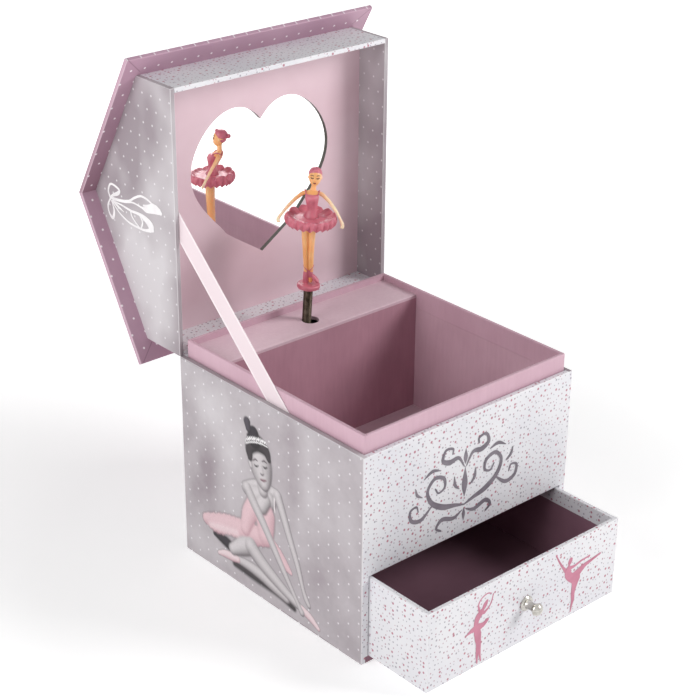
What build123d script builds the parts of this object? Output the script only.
"""Wind-up musical jewellery box: a house-shaped paper-wrapped board case with a roofed lid, a drawer
and a ballerina who turns on a spring over a pin-cylinder movement.

Frame: +Z up, the front (drawer side) faces -Y, origin at the centre of the case's bottom face.
The lid stands open at a right angle, held by its ribbon, and the drawer is drawn part way out.
Lengths are in millimetres.
"""

import math
import os

from build123d import *

# ---- driving dimensions: the case ----
CASE = 120.0  # outer width and depth of the square case
HEIGHT = 97.0  # case height, up to the ledge that the lid closes on
BOARD = 2.2  # greyboard with its paper wrap
LINER = 1.6  # thinner board of the lining
GLUE_GAP = 0.4  # room between the lining and the case, where the ribbon is tucked
RIM_RISE = 8.0  # how far the lining stands proud of the case
BOTTOM = 3.0  # thickness of the bottom board
SHELF_Z = 41.4  # underside of the board over the drawer
PLATFORM_DROP = 2.7  # platform's top below the lining's rim
PLATFORM_Y = 33.5  # front edge of the platform and face of the partition
EDGE_ROUND = 0.5  # soft corner that the wrap gives the board

# ---- driving dimensions: the lid ----
EAVE_V = 24.0  # lid wall height, from the rim to the roof
RIDGE_V = 59.0  # height of the gable's peak above the rim
PANEL_V = 17.0  # depth of the heart panel inside the lid
PANEL = 1.0  # card thickness of the heart panel
MIRROR = 1.0
ROOF = 2.1  # roof board with its wrap
EAVE_OUT = 10.0  # roof past the wall, along the slope
GABLE_OUT = 7.5  # roof past the gables, each side
HEART_WIDTH = 76.8
HEART_HEIGHT = 70.0
HEART_U = 63.3  # middle of the heart, from the hinge

# ---- driving dimensions: the drawer ----
DRAWER_WIDTH = 112.2
DRAWER_HEIGHT = 37.6
DRAWER_DEPTH = 115.5
DRAWER_SIDE = 2.0
DRAWER_LIFT = 0.2  # clearance over the bottom board
DRAWER_OUT = 34.7  # how far it is drawn out at rest
KNOB_LENGTH = 8.6

# ---- driving dimensions: the movement and the dancer ----
MAST_X, MAST_Y = -0.9, 44.6  # axis of the pin cylinder and of the spring mast
HOLE_X, HOLE_Y, HOLE_R = 0.3, 43.6, 4.0  # punched hole in the platform
BARREL_Z = 55.5  # axis height of the spring barrel and of the winding key
PLATE = 2.0  # bedplate thickness
MODULE = 0.3
CROWN_TEETH, CROWN_R = 60, 10.0
PINION_TEETH = 10
GEAR_TEETH = 44
WHEEL_TEETH = 24
CYLINDER_R, CYLINDER_LENGTH = 6.3, 22.0
PIN_RISE = 0.5
NOTES = 18
SPRING_R, SPRING_WIRE = 2.1, 0.6
PIVOT_Z = 105.0  # height at which the leaning mast crosses the movement's axis
MAST_FOOT_Z, MAST_TOP_Z = 99.2, 118.0
LEAN = 3.0  # the mast's resting lean, in degrees
FACING = -42.0  # way the dancer faces, about +Z from the front

# ---- derived places ----
HALF = CASE / 2
INNER = HALF - BOARD  # inner face of the case walls
LINER_OUT = INNER - GLUE_GAP
LINER_IN = LINER_OUT - LINER
RIM_Z = HEIGHT + RIM_RISE
SHELF_TOP = SHELF_Z + BOARD
FLOOR_TOP = SHELF_TOP + LINER
PLATFORM_TOP = RIM_Z - PLATFORM_DROP
PLATFORM_Z = PLATFORM_TOP - LINER
PARTITION_BACK = PLATFORM_Y + LINER
GUIDE_IN = DRAWER_WIDTH / 2 + 0.4
DRAWER_FRONT_Y = -HALF - DRAWER_OUT
DRAWER_BACK_Y = DRAWER_FRONT_Y + DRAWER_DEPTH
DRAWER_Z = BOTTOM + DRAWER_LIFT
KNOB_Z = DRAWER_Z + DRAWER_HEIGHT / 2
ROOF_SLOPE = math.atan2(RIDGE_V - EAVE_V, HALF)
PLATE_FRONT = LINER_IN - PLATE

os.makedirs("parts", exist_ok=True)


def save(piece, label):
    """Names a finished piece and writes it as its own STEP file."""
    piece.label = label
    export_step(piece, f"parts/{label}.step")


def lies_at(edge, places):
    """True where an edge's middle is at one of the places, such as {"X": -60.0, "Z": 97.0}."""
    middle = edge.center()
    return any(
        all(abs(getattr(middle, axis) - value) < 0.01 for axis, value in place.items())
        for place in places
    )


def board(label, low, high, soft=()):
    """A plain rectangular board between two corners. soft lists the lines where its edges are rounded."""
    size = [b - a for a, b in zip(low, high)]
    middle = [(a + b) / 2 for a, b in zip(low, high)]
    with BuildPart() as piece:
        with Locations(tuple(middle)):
            Box(*size)
        if soft:
            fillet(piece.edges().filter_by(lambda edge: lies_at(edge, soft)), EDGE_ROUND)
    save(piece.part, label)


# =====================================================================================
# Case: paper-wrapped greyboard, glued edge to edge
# =====================================================================================
def case_boards():
    for label, outer, inner in (("left", -HALF, -INNER), ("right", HALF, INNER)):
        low, high = (min(outer, inner), -HALF, 0), (max(outer, inner), HALF, HEIGHT)
        soft = [{"X": outer, "Y": -HALF}, {"X": outer, "Y": HALF}, {"X": outer, "Z": HEIGHT}]
        soft.append({"Y": -HALF, "Z": HEIGHT})
        board(f"case_{label}_wall", low, high, soft)
    board("case_bottom", (-INNER, -HALF, 0), (INNER, INNER, BOTTOM))
    soft = [{"Y": -HALF, "Z": HEIGHT}, {"Y": -HALF, "Z": SHELF_Z}]
    board("case_front_panel", (-INNER, -HALF, SHELF_Z), (INNER, -INNER, HEIGHT), soft)
    board("drawer_shelf", (-INNER, -INNER, SHELF_Z), (INNER, INNER, SHELF_TOP))
    board("drawer_guide_left", (-INNER, -HALF, BOTTOM), (-GUIDE_IN, INNER, SHELF_Z))
    board("drawer_guide_right", (GUIDE_IN, -HALF, BOTTOM), (INNER, INNER, SHELF_Z))


SCREW_PLACES = [(-20.0, 74.0), (20.0, 74.0), (MAST_X + 15.0, 50.0)]  # x and z of the movement's screws
SCREW_R = 1.3
SCREW_HOLE_R = 1.4
ARBOR_HOLE_R = 3.0


def pierced_back(label, half_width, y_low, y_high, z_low, z_high):
    """A back board with the hole for the winding arbor and those for the movement's screws."""
    middle_z = (z_low + z_high) / 2
    with BuildPart() as piece:
        with Locations((0, (y_low + y_high) / 2, middle_z)):
            Box(2 * half_width, y_high - y_low, z_high - z_low)
        with BuildSketch(Plane.XZ.offset(-y_high)) as holes:
            with Locations((MAST_X, BARREL_Z)):
                Circle(ARBOR_HOLE_R)
            with Locations(*SCREW_PLACES):
                Circle(SCREW_HOLE_R)
        extrude(amount=y_high - y_low, mode=Mode.SUBTRACT)
    save(piece.part, label)


def lining_boards():
    pierced_back("case_back_wall", INNER, INNER, HALF, 0, HEIGHT)
    pierced_back("liner_back", LINER_IN, LINER_IN, LINER_OUT, SHELF_TOP, RIM_Z)
    for label, outer, inner in (("left", -LINER_OUT, -LINER_IN), ("right", LINER_OUT, LINER_IN)):
        low = (min(outer, inner), -LINER_OUT, SHELF_TOP)
        high = (max(outer, inner), LINER_OUT, RIM_Z)
        soft = [{"X": outer, "Y": -LINER_OUT}, {"X": outer, "Z": RIM_Z}, {"X": inner, "Z": RIM_Z}]
        soft.append({"Y": -LINER_OUT, "Z": RIM_Z})
        board(f"liner_{label}", low, high, soft)
    low, high = (-LINER_IN, -LINER_OUT, SHELF_TOP), (LINER_IN, -LINER_IN, RIM_Z)
    board("liner_front", low, high, [{"Y": -LINER_OUT, "Z": RIM_Z}, {"Y": -LINER_IN, "Z": RIM_Z}])
    board("compartment_floor", (-LINER_IN, -LINER_IN, SHELF_TOP), (LINER_IN, PLATFORM_Y, FLOOR_TOP))
    board("partition", (-LINER_IN, PLATFORM_Y, SHELF_TOP), (LINER_IN, PARTITION_BACK, PLATFORM_Z))


def platform():
    """Shelf over the movement, punched for the mast."""
    with BuildPart() as piece:
        with Locations((0, (PLATFORM_Y + LINER_IN) / 2, PLATFORM_Z + LINER / 2)):
            Box(2 * LINER_IN, LINER_IN - PLATFORM_Y, LINER)
        front_edge = [{"Y": PLATFORM_Y, "Z": PLATFORM_TOP}]
        fillet(piece.edges().filter_by(lambda edge: lies_at(edge, front_edge)), EDGE_ROUND)
        with Locations((HOLE_X, HOLE_Y, PLATFORM_TOP)):
            Hole(HOLE_R)
    save(piece.part, "platform")


# =====================================================================================
# Lid: in the open pose, u runs up from the hinge and v runs back from the rim
# =====================================================================================
def lid_point(u, v):
    """Row-frame (y, z) of a place u from the hinge and v deep in the lid."""
    return (HALF + v, HEIGHT + u)


def lid_prism(label, outline, x_low, x_high, soft=None):
    """A board whose outline lies across the lid, extruded along its width. soft picks edges to round."""
    with BuildPart() as piece:
        with BuildSketch(Plane.YZ.offset(x_low)):
            Polygon(*[lid_point(u, v) for u, v in outline], align=None)
        extrude(amount=x_high - x_low)
        if soft:
            fillet(piece.edges().filter_by(soft), EDGE_ROUND)
    save(piece.part, label)


def lid_walls():
    gable = [(0, 0), (CASE, 0), (CASE, EAVE_V), (HALF, RIDGE_V), (0, EAVE_V)]
    lid_end = HEIGHT + CASE
    for label, outer, inner in (("left", -HALF, -INNER), ("right", HALF, INNER)):
        soft = [{"X": outer, "Y": HALF}, {"X": inner, "Y": HALF}]
        soft += [{"X": outer, "Z": lid_end}, {"Y": HALF, "Z": lid_end}]
        ends = sorted((outer, inner))
        lid_prism(f"lid_{label}_gable", gable, *ends, lambda edge, soft=soft: lies_at(edge, soft))
    front = [(CASE - BOARD, 0), (CASE, 0), (CASE, EAVE_V), (CASE - BOARD, EAVE_V)]
    back = [(0, 0), (BOARD, 0), (BOARD, EAVE_V), (0, EAVE_V)]
    soft = [{"Y": HALF, "Z": lid_end}, {"Y": HALF, "Z": lid_end - BOARD}]
    lid_prism("lid_front_wall", front, -INNER, INNER, lambda edge: lies_at(edge, soft))
    lid_prism("lid_back_wall", back, -INNER, INNER)


def away_from_ridge(edge):
    return abs(edge.center().Z - HEIGHT - HALF) > 1.0


def roof_panels():
    """Two boards that meet at the ridge, past the walls at the eaves and past the gables."""
    run, fall = math.cos(ROOF_SLOPE), math.sin(ROOF_SLOPE)
    eave_u, eave_v = CASE + EAVE_OUT * run, EAVE_V - EAVE_OUT * fall
    top_v = RIDGE_V + ROOF / run
    front = [
        (HALF, RIDGE_V),
        (eave_u, eave_v),
        (eave_u + ROOF * fall, eave_v + ROOF * run),
        (HALF, top_v),
    ]
    back = [(CASE - u, v) for u, v in front]
    reach = HALF + GABLE_OUT
    lid_prism("roof_front_panel", front, -reach, reach, away_from_ridge)
    lid_prism("roof_back_panel", back, -reach, reach, away_from_ridge)


def heart_outline(plane):
    """Heart on a plane, about its own middle: two lobes that run down to a point."""
    half_w, half_h = HEART_WIDTH / 2, HEART_HEIGHT / 2
    notch, tip = (0, half_h - 7.5), (0, -half_h)
    lobe_top, shoulder = (half_w * 0.46, half_h), (half_w, half_h * 0.36)
    flank, foot = (half_w * 0.91, -half_h * 0.10), (half_w * 0.58, -half_h * 0.54)
    leave, arrive = (0.8, 1.0), (-0.85, -0.55)
    with BuildSketch(plane) as heart:
        with BuildLine():
            Spline(notch, lobe_top, shoulder, flank, foot, tip, tangents=[leave, arrive])
            mirror(about=Plane.YZ)
        make_face()
    return heart.sketch


def heart_panel():
    """Card that closes the lid, with a heart cut through to the mirror behind it."""
    middle_z = HEIGHT + CASE / 2
    face_y = HALF + PANEL_V
    cut_plane = Plane(origin=(0, face_y, HEIGHT + HEART_U), x_dir=(1, 0, 0), z_dir=(0, -1, 0))
    heart = heart_outline(cut_plane)
    with BuildPart() as piece:
        with Locations((0, face_y + PANEL / 2, middle_z)):
            Box(2 * INNER, PANEL, CASE - 2 * BOARD)
        extrude(heart, amount=-PANEL, mode=Mode.SUBTRACT)
    save(piece.part, "lid_inner_panel")


def mirror_plate():
    margin = 4.0
    v_low = PANEL_V + PANEL
    u_low = HEART_U - HEART_HEIGHT / 2 - margin
    u_high = HEART_U + HEART_HEIGHT / 2 + margin
    outline = [(u_low, v_low), (u_high, v_low), (u_high, v_low + MIRROR), (u_low, v_low + MIRROR)]
    reach = HEART_WIDTH / 2 + margin
    lid_prism("mirror", outline, -reach, reach)


# =====================================================================================
# Soft joints: the cloth hinge and the ribbon that stops the lid
# =====================================================================================
HINGE_CLOTH = 0.3
HINGE_FLAP = 14.0
RIBBON_WIDTH = 10.0
RIBBON_THICK = 0.25
RIBBON_LOW = (-4.3, 97.0)  # y and z where it leaves the case
RIBBON_HIGH = (62.0, 158.0)  # y and z where it enters the lid
RIBBON_TUCK = 7.0  # hidden in the case
RIBBON_GLUED = 10.0  # glued inside the lid
RIBBON_X = -LINER_OUT - 0.1 - RIBBON_THICK


def hinge_cloth():
    """Cloth strip glued outside both back walls, bent square while the lid stands open."""
    t, flap = HINGE_CLOTH, HINGE_FLAP
    with BuildPart() as piece:
        with BuildSketch(Plane.YZ.offset(-INNER)):
            with BuildLine():
                Polyline(
                    (HALF, HEIGHT - flap),
                    (HALF + t, HEIGHT - flap),
                    (HALF + t, HEIGHT - t),
                    (HALF + flap, HEIGHT - t),
                    (HALF + flap, HEIGHT),
                    (HALF, HEIGHT),
                    close=True,
                )
            make_face()
        extrude(amount=2 * INNER)
    save(piece.part, "hinge_cloth")


def ribbon_stay():
    """Satin ribbon, pulled straight by the open lid."""
    run = (RIBBON_HIGH[0] - RIBBON_LOW[0], RIBBON_HIGH[1] - RIBBON_LOW[1])
    span = math.hypot(*run)
    length = span + RIBBON_TUCK + RIBBON_GLUED
    middle = (RIBBON_GLUED - RIBBON_TUCK + span) / 2
    way = (0, run[0] / span, run[1] / span)
    centre = (0, RIBBON_LOW[0] + way[1] * middle, RIBBON_LOW[1] + way[2] * middle)
    strap = Plane(origin=(RIBBON_X, centre[1], centre[2]), x_dir=way, z_dir=(1, 0, 0))
    with BuildPart() as piece:
        with BuildSketch(strap):
            Rectangle(length, RIBBON_WIDTH)
        extrude(amount=RIBBON_THICK)
    save(piece.part, "ribbon_stay")


# =====================================================================================
# Drawer: a board tray with a metal stud for a knob
# =====================================================================================
KNOB_HOLE_R = 1.3
KNOB_SCREW_R = 1.2


def drawer_boards():
    half = DRAWER_WIDTH / 2
    front, back = DRAWER_FRONT_Y, DRAWER_BACK_Y
    low, high = DRAWER_Z, DRAWER_Z + DRAWER_HEIGHT
    side_front = front + BOARD
    with BuildPart() as face:
        with Locations((0, front + BOARD / 2, (low + high) / 2)):
            Box(DRAWER_WIDTH, BOARD, DRAWER_HEIGHT)
        with BuildSketch(Plane.XZ.offset(-side_front)):
            with Locations((0, KNOB_Z)):
                Circle(KNOB_HOLE_R)
        extrude(amount=BOARD, mode=Mode.SUBTRACT)
        back_top = [{"Y": side_front, "Z": high}]
        front_edges = face.faces().sort_by(Axis.Y)[0].edges()
        fillet(front_edges + face.edges().filter_by(lambda edge: lies_at(edge, back_top)), EDGE_ROUND)
    save(face.part, "drawer_front")
    inner = half - DRAWER_SIDE
    for label, outer, near in (("left", -half, -inner), ("right", half, inner)):
        soft = [{"X": outer, "Z": high}, {"X": near, "Z": high}]
        ends = sorted((outer, near))
        board(f"drawer_{label}_side", (ends[0], side_front, low), (ends[1], back, high), soft)
    soft = [{"Y": back, "Z": high}, {"Y": back - DRAWER_SIDE, "Z": high}]
    board("drawer_back", (-inner, back - DRAWER_SIDE, low), (inner, back, high), soft)
    board("drawer_bottom", (-inner, side_front, low), (inner, back - DRAWER_SIDE, low + DRAWER_SIDE))


def drawer_knob():
    """Turned stud: a flange against the board, a waisted neck and a domed head."""
    flange_r, neck_r, head_r = 3.45, 1.7, 2.9
    head_back = KNOB_LENGTH - 3.2
    dome = 2.3
    dome_r = (head_r**2 + dome**2) / (2 * dome)
    half_turn = math.asin(head_r / dome_r) / 2
    dome_mid = (dome_r * math.sin(half_turn), dome_r - KNOB_LENGTH - dome_r * math.cos(half_turn))
    knob_axis = Plane(origin=(0, DRAWER_FRONT_Y, KNOB_Z), x_dir=(1, 0, 0), z_dir=(0, 0, 1))
    with BuildPart() as piece:
        with BuildSketch(knob_axis) as profile:
            with BuildLine():
                Polyline((0, 0), (flange_r, 0), (flange_r, -0.5), (flange_r - 0.5, -1.1))
                Line((flange_r - 0.5, -1.1), (neck_r + 0.4, -1.3))
                Spline((neck_r + 0.4, -1.3), (neck_r, -3.2), (neck_r + 0.5, -head_back))
                Line((neck_r + 0.5, -head_back), (head_r, dome - KNOB_LENGTH))
                ThreePointArc((head_r, dome - KNOB_LENGTH), dome_mid, (0, -KNOB_LENGTH))
                Line((0, -KNOB_LENGTH), (0, 0))
            make_face()
        revolve(axis=Axis((0, DRAWER_FRONT_Y, KNOB_Z), (0, 1, 0)))
        with BuildSketch(Plane.XZ.offset(-DRAWER_FRONT_Y)):
            with Locations((0, KNOB_Z)):
                Circle(KNOB_SCREW_R + 0.05)
        extrude(amount=3.4, mode=Mode.SUBTRACT)
    save(piece.part, "drawer_knob")


def knob_screw():
    """Slotted screw through the drawer front into the knob."""
    inner_y = DRAWER_FRONT_Y + BOARD
    with BuildPart() as piece:
        with BuildSketch(Plane.XZ.offset(-inner_y - 1.3)):
            with Locations((0, KNOB_Z)):
                Circle(3.0)
        extrude(amount=1.3)
        fillet(piece.edges().sort_by(Axis.Y)[-1], 0.6)
        with BuildSketch(Plane.XZ.offset(-inner_y)):
            with Locations((0, KNOB_Z)):
                Circle(KNOB_SCREW_R)
        extrude(amount=BOARD + 3.2)
        with Locations((0, inner_y + 1.3, KNOB_Z)):
            Box(0.8, 1.2, 7.0, mode=Mode.SUBTRACT)
    save(piece.part, "knob_screw")


# =====================================================================================
# Movement: bedplate, brackets and comb
# =====================================================================================
CYLINDER_Z = BARREL_Z + CROWN_R + 3.0  # lower end of the pin cylinder
GEAR_Z = CYLINDER_Z + CYLINDER_LENGTH + 0.5
GEAR_FACE = 1.2
WHEEL_Z = GEAR_Z + 2.8
TRAIN_X = MAST_X - MODULE * (GEAR_TEETH + PINION_TEETH) / 2 - 0.05
WORM_R = 1.2
WORM_PITCH = math.pi * MODULE
WORM_X = TRAIN_X - MODULE * WHEEL_TEETH / 2 - WORM_R - 0.05
WORM_Z = WHEEL_Z + GEAR_FACE / 2
UPPER_BRACKET_Z = WHEEL_Z + GEAR_FACE + 1.2
LOWER_BRACKET_Z = CYLINDER_Z - 1.6
ARBOR_R = 1.0  # cylinder arbor
TRAIN_R = 0.6
SPINDLE_R = 0.5
RUNNING = 0.05  # radial clearance of a shaft in its bearing
COMB_TIP = CYLINDER_R + PIN_RISE + 0.15
COMB_ROOT = 18.0
COMB_END = 26.0
COMB_THICK = 0.8
COMB_SCREW_R = 1.1
COMB_SCREW_X = MAST_X + 22.0
COMB_SCREW_Z = [CYLINDER_Z + 5.5, CYLINDER_Z + CYLINDER_LENGTH - 5.5]


def bedplate():
    """Cast plate on the back lining, with the block that carries the comb."""
    low_x, high_x, low_z, high_z = -25.0, 27.0, 45.0, 98.0
    with BuildPart() as piece:
        with Locations(((low_x + high_x) / 2, PLATE_FRONT + PLATE / 2, (low_z + high_z) / 2)):
            Box(high_x - low_x, PLATE, high_z - low_z)
        fillet(piece.edges().filter_by(Axis.Y), 3.0)
        block_back = MAST_Y + COMB_THICK / 2
        middle = (
            MAST_X + (COMB_ROOT + COMB_END) / 2,
            (block_back + PLATE_FRONT) / 2,
            CYLINDER_Z + CYLINDER_LENGTH / 2,
        )
        with Locations(tuple(middle)):
            Box(COMB_END - COMB_ROOT, PLATE_FRONT - block_back, CYLINDER_LENGTH)
        with BuildSketch(Plane.XZ.offset(-LINER_IN)):
            with Locations((MAST_X, BARREL_Z)):
                Circle(1.5 + RUNNING)
            with Locations(*SCREW_PLACES):
                Circle(SCREW_R - 0.1)
        extrude(amount=PLATE, mode=Mode.SUBTRACT)
        with BuildSketch(Plane.XZ.offset(-block_back)):
            with Locations(*[(COMB_SCREW_X, z) for z in COMB_SCREW_Z]):
                Circle(COMB_SCREW_R)
        extrude(amount=-6.0, mode=Mode.SUBTRACT)
    save(piece.part, "movement_bedplate")


def bracket(label, z_low, x_low, x_high, y_front, bores, thickness=1.4):
    """A bearing shelf that stands out from the bedplate. bores holds (x, y, radius) of each vertical bearing."""
    with BuildPart() as piece:
        with BuildSketch(Plane.XY.offset(z_low)):
            with Locations(((x_low + x_high) / 2, (y_front + PLATE_FRONT) / 2)):
                Rectangle(x_high - x_low, PLATE_FRONT - y_front)
            for x, y, radius in bores:
                with Locations((x, y)):
                    Circle(radius, mode=Mode.SUBTRACT)
        extrude(amount=thickness)
        fillet(piece.edges().filter_by(Axis.Z).sort_by(Axis.Y)[:2], 1.2)
    save(piece.part, label)


def bearing_brackets():
    mast = (MAST_X, MAST_Y, ARBOR_R + RUNNING)
    train = (TRAIN_X, MAST_Y, TRAIN_R + RUNNING)
    left, right = TRAIN_X - 1.6, MAST_X + 4.0
    bracket("upper_bracket", UPPER_BRACKET_Z, left, right, MAST_Y - 2.6, [mast, train])
    bracket("lower_bracket", LOWER_BRACKET_Z, MAST_X - 4.0, right, MAST_Y - 2.6, [mast], 1.2)
    bracket("train_bracket", GEAR_Z - 2.4, left, TRAIN_X + 1.0, MAST_Y - 1.8, [train], 1.2)


def comb():
    """Steel comb: eighteen teeth over the cylinder, screwed to the bedplate's block."""
    width = CYLINDER_LENGTH - 1.0
    pitch = width / NOTES
    slot = 0.3
    plane = Plane.XZ.offset(-(MAST_Y + COMB_THICK / 2))
    middle_z = CYLINDER_Z + CYLINDER_LENGTH / 2
    with BuildPart() as piece:
        with BuildSketch(plane):
            with Locations((MAST_X + (COMB_TIP + COMB_END) / 2, middle_z)):
                Rectangle(COMB_END - COMB_TIP, width)
            with Locations((MAST_X + (COMB_TIP + COMB_ROOT) / 2, middle_z)):
                with GridLocations(0, pitch, 1, NOTES - 1):
                    Rectangle(COMB_ROOT - COMB_TIP, slot, mode=Mode.SUBTRACT)
            with Locations(*[(COMB_SCREW_X, z) for z in COMB_SCREW_Z]):
                Circle(COMB_SCREW_R + 0.1, mode=Mode.SUBTRACT)
        extrude(amount=COMB_THICK)
    save(piece.part, "comb")


def screw_group(label, places, radius, head_r, head, y_seat, length, slot=0.5):
    """Cheese-head screws that share a node. They point along +Y if length is positive, else along -Y."""
    way = 1 if length > 0 else -1
    with BuildPart() as piece:
        with BuildSketch(Plane.XZ.offset(-y_seat)):
            with Locations(*places):
                Circle(radius)
        extrude(amount=-length)
        with BuildSketch(Plane.XZ.offset(-y_seat)):
            with Locations(*places):
                Circle(head_r)
        extrude(amount=way * head)
        with BuildSketch(Plane.XZ.offset(-(y_seat - way * head))):
            with Locations(*places):
                Rectangle(slot, 2.2 * head_r)
        extrude(amount=-way * head / 2, mode=Mode.SUBTRACT)
    save(piece.part, label)


def movement_screws():
    comb_face = MAST_Y - COMB_THICK / 2
    places = [(COMB_SCREW_X, z) for z in COMB_SCREW_Z]
    screw_group("comb_screws", places, COMB_SCREW_R - 0.05, 2.0, 1.2, comb_face, 6.0)
    screw_group("case_screws", SCREW_PLACES, SCREW_R - 0.15, 2.5, 1.4, HALF, -5.8, 0.7)


# =====================================================================================
# Movement: spring barrel, mainspring, winding arbor and key
# =====================================================================================
BARREL_R, BARREL_WALL = 8.2, 0.6
BARREL_FRONT, BARREL_BACK = 38.0, PLATE_FRONT - 1.0
CROWN_ROOT_Y = MAST_Y + 2.6  # plane that the crown's teeth stand on
CROWN_TIP_Y = MAST_Y + 1.35
ARBOR_SHAFT_R = 1.5
KEY_THREAD_R = 1.5
SPRING_TURNS = 5.0


def barrel_plane(y):
    """Plane across the barrel's axis, facing +Y, with local X along +X."""
    return Plane(origin=(MAST_X, y, BARREL_Z), x_dir=(1, 0, 0), z_dir=(0, 1, 0))


def spring_barrel():
    """Drum that holds the mainspring, with a crown of teeth that drives the cylinder's pinion."""
    flange_back = CROWN_ROOT_Y + 1.2
    crown_outer, crown_inner = CROWN_R + 1.0, CROWN_R - 1.0
    with BuildPart() as piece:
        with BuildSketch(barrel_plane(BARREL_FRONT)):
            Circle(BARREL_R)
        extrude(amount=BARREL_BACK - BARREL_FRONT)
        with BuildSketch(barrel_plane(CROWN_ROOT_Y)):
            Circle(crown_outer)
        extrude(amount=flange_back - CROWN_ROOT_Y)
        with BuildSketch(barrel_plane(BARREL_FRONT + 0.8)):
            Circle(BARREL_R - BARREL_WALL)
        extrude(amount=BARREL_BACK - BARREL_FRONT, mode=Mode.SUBTRACT)
        with BuildSketch(barrel_plane(BARREL_FRONT)):
            Circle(1.0 + RUNNING)
        extrude(amount=1.0, mode=Mode.SUBTRACT)
        tooth = 360 / CROWN_TEETH
        with BuildSketch(barrel_plane(CROWN_ROOT_Y)):
            with PolarLocations(CROWN_R, CROWN_TEETH, start_angle=90 + tooth / 2):
                Rectangle(crown_outer - crown_inner - 0.02, 0.26)
        extrude(amount=CROWN_TIP_Y - CROWN_ROOT_Y)
    save(piece.part, "spring_barrel")


def barrel_cap():
    with BuildPart() as piece:
        with BuildSketch(barrel_plane(BARREL_BACK - 0.8)):
            Circle(BARREL_R - BARREL_WALL - 0.02)
            Circle(ARBOR_SHAFT_R + RUNNING, mode=Mode.SUBTRACT)
        extrude(amount=0.8)
    save(piece.part, "barrel_cap")


def mainspring():
    """Flat steel strip wound from beside the arbor out to the drum's wall."""
    inner_r, outer_r = 2.6, BARREL_R - BARREL_WALL - 0.5
    strip = 0.3
    steps = int(12 * SPRING_TURNS)
    length = BARREL_BACK - BARREL_FRONT - 3.2

    def spiral(offset):
        points = []
        for i in range(steps + 1):
            angle = 2 * math.pi * SPRING_TURNS * i / steps
            radius = inner_r + (outer_r - inner_r) * i / steps + offset
            points.append((radius * math.cos(angle), radius * math.sin(angle)))
        return points

    near, far = spiral(0), spiral(strip)
    with BuildPart() as piece:
        with BuildSketch(barrel_plane(BARREL_FRONT + 1.4)):
            with BuildLine():
                Spline(*near)
                Line(near[-1], far[-1])
                Spline(*reversed(far))
                Line(far[0], near[0])
            make_face()
        extrude(amount=length)
    save(piece.part, "mainspring")


def winding_arbor():
    """Steel arbor from the drum's front pivot, out through the case, threaded for the key."""
    with BuildPart() as piece:
        with BuildSketch(barrel_plane(BARREL_FRONT - 0.6)):
            Circle(1.0)
        extrude(amount=1.6)
        with BuildSketch(barrel_plane(BARREL_FRONT + 1.0)):
            Circle(ARBOR_SHAFT_R)
        extrude(amount=HALF + 6.5 - BARREL_FRONT - 1.0)
        chamfer(piece.edges().sort_by(Axis.Y)[-1], 0.4)
    save(piece.part, "winding_arbor")


KEY_BOSS_Y = HALF + 2.0
KEY_LENGTH = 15.0


def winding_key():
    """Pressed key: a round socket on the arbor and a flat wing with two round eyes."""
    boss_r, boss = 2.8, 6.0
    wing_thick = 1.4
    lobe_r, lobe_x = 5.2, 5.6
    lobe_y = KEY_BOSS_Y + KEY_LENGTH - lobe_r
    wing_plane = Plane.XY.offset(BARREL_Z - wing_thick / 2)
    with BuildPart() as piece:
        with BuildSketch(barrel_plane(KEY_BOSS_Y)):
            Circle(boss_r)
        extrude(amount=boss)
        with BuildSketch(wing_plane):
            with Locations((MAST_X - lobe_x, lobe_y), (MAST_X + lobe_x, lobe_y)):
                Circle(lobe_r)
            with Locations((MAST_X, (KEY_BOSS_Y + 4.6 + lobe_y) / 2)):
                Rectangle(2 * boss_r, lobe_y - KEY_BOSS_Y - 4.6 + 2.0)
            with Locations((MAST_X - lobe_x, lobe_y), (MAST_X + lobe_x, lobe_y)):
                Circle(lobe_r * 0.5, mode=Mode.SUBTRACT)
        extrude(amount=wing_thick)
        with BuildSketch(barrel_plane(KEY_BOSS_Y)):
            Circle(KEY_THREAD_R + 0.02)
        extrude(amount=4.6, mode=Mode.SUBTRACT)
    save(piece.part, "winding_key")


# =====================================================================================
# Movement: pin cylinder, gears, air brake
# =====================================================================================
def tooth_ring(teeth, radius, module, phase, thick=0.35):
    """Spur wheel outline: a root disc with a tapered tooth at each pitch. phase is a tooth's angle, in degrees."""
    pitch = math.pi * module
    tip, root = radius + 0.8 * module, radius - 1.2 * module
    Circle(root)
    for i in range(teeth):
        angle = phase + 360 * i / teeth
        with Locations(Location((0, 0, 0), (0, 0, angle))):
            base = root - 0.05
            Polygon(
                (base, -0.6 * thick * pitch),
                (tip, -0.32 * thick * pitch),
                (tip, 0.32 * thick * pitch),
                (base, 0.6 * thick * pitch),
                align=None,
            )


def spur(label, x, y, z, teeth, radius, phase, bore, face, module=MODULE):
    with BuildPart() as piece:
        with BuildSketch(Plane(origin=(x, y, z))):
            tooth_ring(teeth, radius, module, phase)
            Circle(bore, mode=Mode.SUBTRACT)
        extrude(amount=face)
    save(piece.part, label)


CROWN_MODULE = 2 * CROWN_R / CROWN_TEETH


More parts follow.
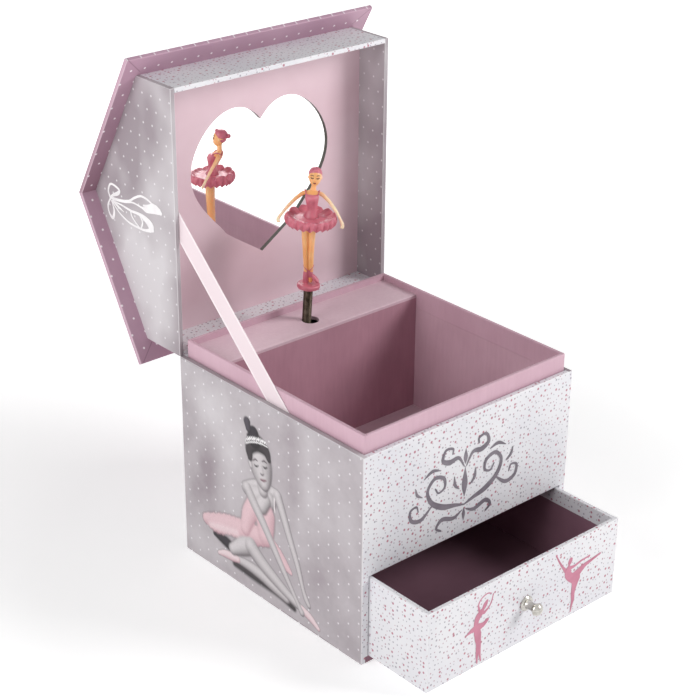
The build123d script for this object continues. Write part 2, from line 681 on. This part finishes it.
def cylinder_parts():
    pinion_r = CROWN_MODULE * PINION_TEETH / 2
    top_z = HUB_Z + HUB_GRIP
    low_z = BARREL_Z + CROWN_R - 1.0
    with BuildPart() as arbor:
        with BuildSketch(Plane(origin=(MAST_X, MAST_Y, low_z))):
            Circle(ARBOR_R)
        extrude(amount=top_z - low_z)
    save(arbor.part, "cylinder_arbor")
    # a tooth of the pinion points at the crown, along +Y, into a gap
    with BuildPart() as pinion:
        with BuildSketch(Plane(origin=(MAST_X, MAST_Y, low_z + 0.1))):
            tooth_ring(PINION_TEETH, pinion_r, 0.36, 90, 0.28)
            Circle(ARBOR_R, mode=Mode.SUBTRACT)
        extrude(amount=1.8)
    save(pinion.part, "cylinder_pinion")
    gear_r = MODULE * GEAR_TEETH / 2
    # a tooth of the train's pinion points at the gear, along +X, into a gap
    half_tooth = 180 / GEAR_TEETH
    spur("cylinder_gear", MAST_X, MAST_Y, GEAR_Z, GEAR_TEETH, gear_r, 180 + half_tooth, ARBOR_R, GEAR_FACE)


def pin_cylinder():
    """Brass drum with rows of pins, closed by an end plate at each end."""
    wall, plate = 0.6, 1.0
    pitch = (CYLINDER_LENGTH - 1.0) / NOTES
    with BuildPart() as piece:
        with BuildSketch(Plane(origin=(MAST_X, MAST_Y, CYLINDER_Z))):
            Circle(CYLINDER_R)
            Circle(ARBOR_R, mode=Mode.SUBTRACT)
        extrude(amount=CYLINDER_LENGTH)
        with BuildSketch(Plane(origin=(MAST_X, MAST_Y, CYLINDER_Z + plate))):
            Circle(CYLINDER_R - wall)
            Circle(ARBOR_R, mode=Mode.SUBTRACT)
        extrude(amount=CYLINDER_LENGTH - 2 * plate, mode=Mode.SUBTRACT)
        for note in range(NOTES):
            z = CYLINDER_Z + CYLINDER_LENGTH / 2 + (note - (NOTES - 1) / 2) * pitch
            for beat in range(3):
                angle = 20 + 360 * beat / 3 + 47 * note
                ray = (math.cos(math.radians(angle)), math.sin(math.radians(angle)), 0)
                foot = [c + (CYLINDER_R - 0.2) * d for c, d in zip((MAST_X, MAST_Y, z), ray)]
                with BuildSketch(Plane(origin=foot, z_dir=ray)):
                    Circle(0.2)
                extrude(amount=PIN_RISE + 0.2)
    save(piece.part, "pin_cylinder")


def train_parts():
    pinion_r = MODULE * PINION_TEETH / 2
    low_z, high_z = GEAR_Z - 3.0, UPPER_BRACKET_Z + 1.4
    with BuildPart() as arbor:
        with BuildSketch(Plane(origin=(TRAIN_X, MAST_Y, low_z))):
            Circle(TRAIN_R)
        extrude(amount=high_z - low_z)
        with BuildSketch(Plane(origin=(TRAIN_X, MAST_Y, GEAR_Z - 0.1))):
            tooth_ring(PINION_TEETH, pinion_r, MODULE, 0)
        extrude(amount=GEAR_FACE + 0.2)
    save(arbor.part, "train_arbor")
    # a tooth of the worm wheel points at the worm, along -X, between two threads
    wheel_r = MODULE * WHEEL_TEETH / 2
    spur("worm_wheel", TRAIN_X, MAST_Y, WHEEL_Z, WHEEL_TEETH, wheel_r, 180, TRAIN_R, GEAR_FACE)


WORM_TURNS = 5
SPINDLE_FRONT, SPINDLE_BACK = 36.4, PLATE_FRONT - 0.6
FAN_R, FAN_Y = 4.2, 36.9
COCK = 1.2  # thickness of the governor's two bearing plates


def governor_spindle():
    """Air-brake spindle with its worm, which the worm wheel drives."""
    start = MAST_Y - WORM_PITCH * WORM_TURNS / 2
    core_r, thread = WORM_R - 0.36, 0.62
    plane = Plane(origin=(WORM_X, 0, WORM_Z), x_dir=(1, 0, 0), z_dir=(0, 1, 0))
    with BuildPart() as worm:
        with BuildLine() as path:
            Helix(WORM_PITCH, WORM_PITCH * WORM_TURNS, core_r - 0.1)
        with BuildSketch(Plane(origin=path.line @ 0, z_dir=path.line % 0, x_dir=(1, 0, 0))):
            Polygon((0, -0.2), (thread, -0.1), (thread, 0.1), (0, 0.2), align=None)
        sweep(is_frenet=True)
        Cylinder(core_r, WORM_PITCH * WORM_TURNS + 0.8, align=(Align.CENTER, Align.CENTER, Align.MIN))
    with BuildPart() as piece:
        with BuildSketch(plane.offset(SPINDLE_FRONT)):
            Circle(SPINDLE_R)
        extrude(amount=SPINDLE_BACK - SPINDLE_FRONT)
        add(worm.part.moved(plane.offset(start).location))
    save(piece.part, "governor_spindle")


def governor_fan():
    """Two light wings that beat the air and keep the tempo."""
    plane = Plane(origin=(WORM_X, FAN_Y, WORM_Z), x_dir=(1, 0, 0), z_dir=(0, 1, 0))
    with BuildPart() as piece:
        with BuildSketch(plane):
            Circle(1.2)
            Rectangle(2 * FAN_R, 0.6)
            Circle(SPINDLE_R, mode=Mode.SUBTRACT)
        extrude(amount=2.6)
    save(piece.part, "governor_fan")


def governor_cocks():
    """Two plates on posts from the bedplate, which carry the spindle's ends."""
    half = 2.4
    with BuildPart() as piece:
        for y in (MAST_Y - 2.9 - COCK, MAST_Y + 4.6):
            with BuildSketch(Plane.XZ.offset(-y - COCK)):
                with Locations((WORM_X - 2.4, WORM_Z)):
                    Rectangle(2 * half + 2.4, 2 * half)
                with Locations((WORM_X, WORM_Z)):
                    Circle(SPINDLE_R + RUNNING, mode=Mode.SUBTRACT)
            extrude(amount=COCK)
        front = MAST_Y - 2.9 - COCK
        with Locations((WORM_X - 4.8, (front + PLATE_FRONT) / 2, WORM_Z)):
            Box(2.4, PLATE_FRONT - front, 2 * half)
    save(piece.part, "governor_bracket")


# =====================================================================================
# Mast and dancer
# =====================================================================================
LEAN_WAY = (math.cos(math.radians(FACING)), math.sin(math.radians(FACING)), 0)
MAST_AXIS = Vector(0, 0, 1) * math.cos(math.radians(LEAN)) + Vector(LEAN_WAY) * math.sin(
    math.radians(LEAN)
)
STUD_R = 1.1
HUB_Z = UPPER_BRACKET_Z + 1.6  # underside of the mast's collar
HUB_GRIP = 1.2


def mast_plane(height):
    """Plane across the leaning mast, at a height measured along it. Local X is the dancer's left."""
    origin = Vector(MAST_X, MAST_Y, PIVOT_Z) + MAST_AXIS * (height - PIVOT_Z)
    return Plane(origin=origin, x_dir=LEAN_WAY, z_dir=MAST_AXIS)


def mast_hub():
    """Collar on the cylinder's arbor, with the stud that the spring is pushed over."""
    with BuildPart() as piece:
        with BuildSketch(Plane(origin=(MAST_X, MAST_Y, HUB_Z))):
            Circle(2.6)
        extrude(amount=MAST_FOOT_Z - 0.1 - HUB_Z)
        with BuildSketch(Plane(origin=(MAST_X, MAST_Y, MAST_FOOT_Z - 0.1))):
            Circle(STUD_R)
        extrude(amount=3.6)
        with BuildSketch(Plane(origin=(MAST_X, MAST_Y, HUB_Z))):
            Circle(ARBOR_R)
        extrude(amount=HUB_GRIP, mode=Mode.SUBTRACT)
    save(piece.part, "mast_hub")


def figure_spring():
    """Close-wound coil that lets the lid press the dancer down: its outer and inner surfaces."""
    with BuildPart() as piece:
        with BuildSketch(mast_plane(MAST_FOOT_Z + 0.15)):
            Circle(SPRING_R)
            Circle(SPRING_R - SPRING_WIRE, mode=Mode.SUBTRACT)
        extrude(amount=MAST_TOP_Z - MAST_FOOT_Z - 0.2)
    save(piece.part, "figure_spring")


BASE_R, BASE_H = 5.1, 2.4
TUTU_R = 10.9
HIP_Z = 27.0  # heights over the round base's underside
WAIST_Z = 35.5
SHOULDER_Z = 44.6
HEAD_Z, HEAD_R = 51.4, 3.1
TOTAL_Z = 55.5


def limb_sections():
    """Round sections of legs, hips, bodice, shoulders and neck: x, height and radius of each."""
    legs = []
    for side in (-1, 1):
        foot, ankle = (side * 0.7, BASE_H - 0.3, 1.5), (side * 1.0, 10.0, 1.15)
        knee, thigh = (side * 1.3, 18.0, 1.5), (side * 1.35, 29.0, 1.6)
        legs.append([foot, ankle, knee, thigh])
    bodice = [(0, HIP_Z, 2.9), (0, 33.0, 2.7), (0, WAIST_Z, 2.1), (0, 42.0, 3.0)]
    shoulders = [(0, 41.8, 3.0), (0, SHOULDER_Z, 3.2), (0, 46.2, 1.2), (0, 48.6, 1.1)]
    return legs + [bodice, shoulders]


def ballerina():
    """Moulded dancer: round base, feet together, legs, bodice, arms held low, neck and head."""
    foot_plane = mast_plane(MAST_TOP_Z)
    with BuildPart() as piece:
        with BuildSketch(foot_plane):
            Circle(BASE_R)
        extrude(amount=BASE_H)
        for sections in limb_sections():
            for x, height, radius in sections:
                with BuildSketch(foot_plane.offset(height)):
                    with Locations((x, 0)):
                        Circle(radius)
            loft()
        with Locations(foot_plane.offset(HEAD_Z).location):
            Sphere(HEAD_R)
        with Locations(foot_plane.offset(TOTAL_Z - 1.3).location):
            Sphere(1.3)
        arm = [(3.0, SHOULDER_Z - 0.6), (8.0, 40.0), (12.2, 33.0), (13.6, 28.5)]
        for side in (-1, 1):
            for (near_x, near_z), (far_x, far_z) in zip(arm, arm[1:]):
                near = foot_plane.from_local_coords(Vector(side * near_x, 0, near_z))
                far = foot_plane.from_local_coords(Vector(side * far_x, 0, far_z))
                with BuildSketch(Plane(origin=near, z_dir=far - near)):
                    Circle(0.95)
                extrude(amount=(far - near).length + 0.3)
        with BuildSketch(foot_plane):
            Circle(0.8)
        extrude(amount=1.5, mode=Mode.SUBTRACT)
    save(piece.part, "ballerina_figure")


def ballerina_tutu():
    """Moulded skirt ring, clipped round the hips, with a frilled rim."""
    hole = 3.35
    with BuildPart() as piece:
        with BuildSketch(mast_plane(MAST_TOP_Z).offset(28.0)):
            Circle(TUTU_R - 0.6)
        with BuildSketch(mast_plane(MAST_TOP_Z).offset(30.6)):
            Circle(TUTU_R)
        loft()
        with BuildSketch(mast_plane(MAST_TOP_Z).offset(30.6)):
            Circle(TUTU_R)
        extrude(amount=1.8)
        with BuildSketch(mast_plane(MAST_TOP_Z).offset(27.0)):
            Circle(hole)
        extrude(amount=6.0, mode=Mode.SUBTRACT)
    save(piece.part, "ballerina_tutu")


case_boards()
lining_boards()
platform()
lid_walls()
roof_panels()
heart_panel()
mirror_plate()
hinge_cloth()
ribbon_stay()
drawer_boards()
drawer_knob()
knob_screw()
bedplate()
bearing_brackets()
comb()
movement_screws()
spring_barrel()
barrel_cap()
mainspring()
winding_arbor()
winding_key()
cylinder_parts()
pin_cylinder()
train_parts()
governor_spindle()
governor_fan()
governor_cocks()
mast_hub()
figure_spring()
ballerina()
ballerina_tutu()
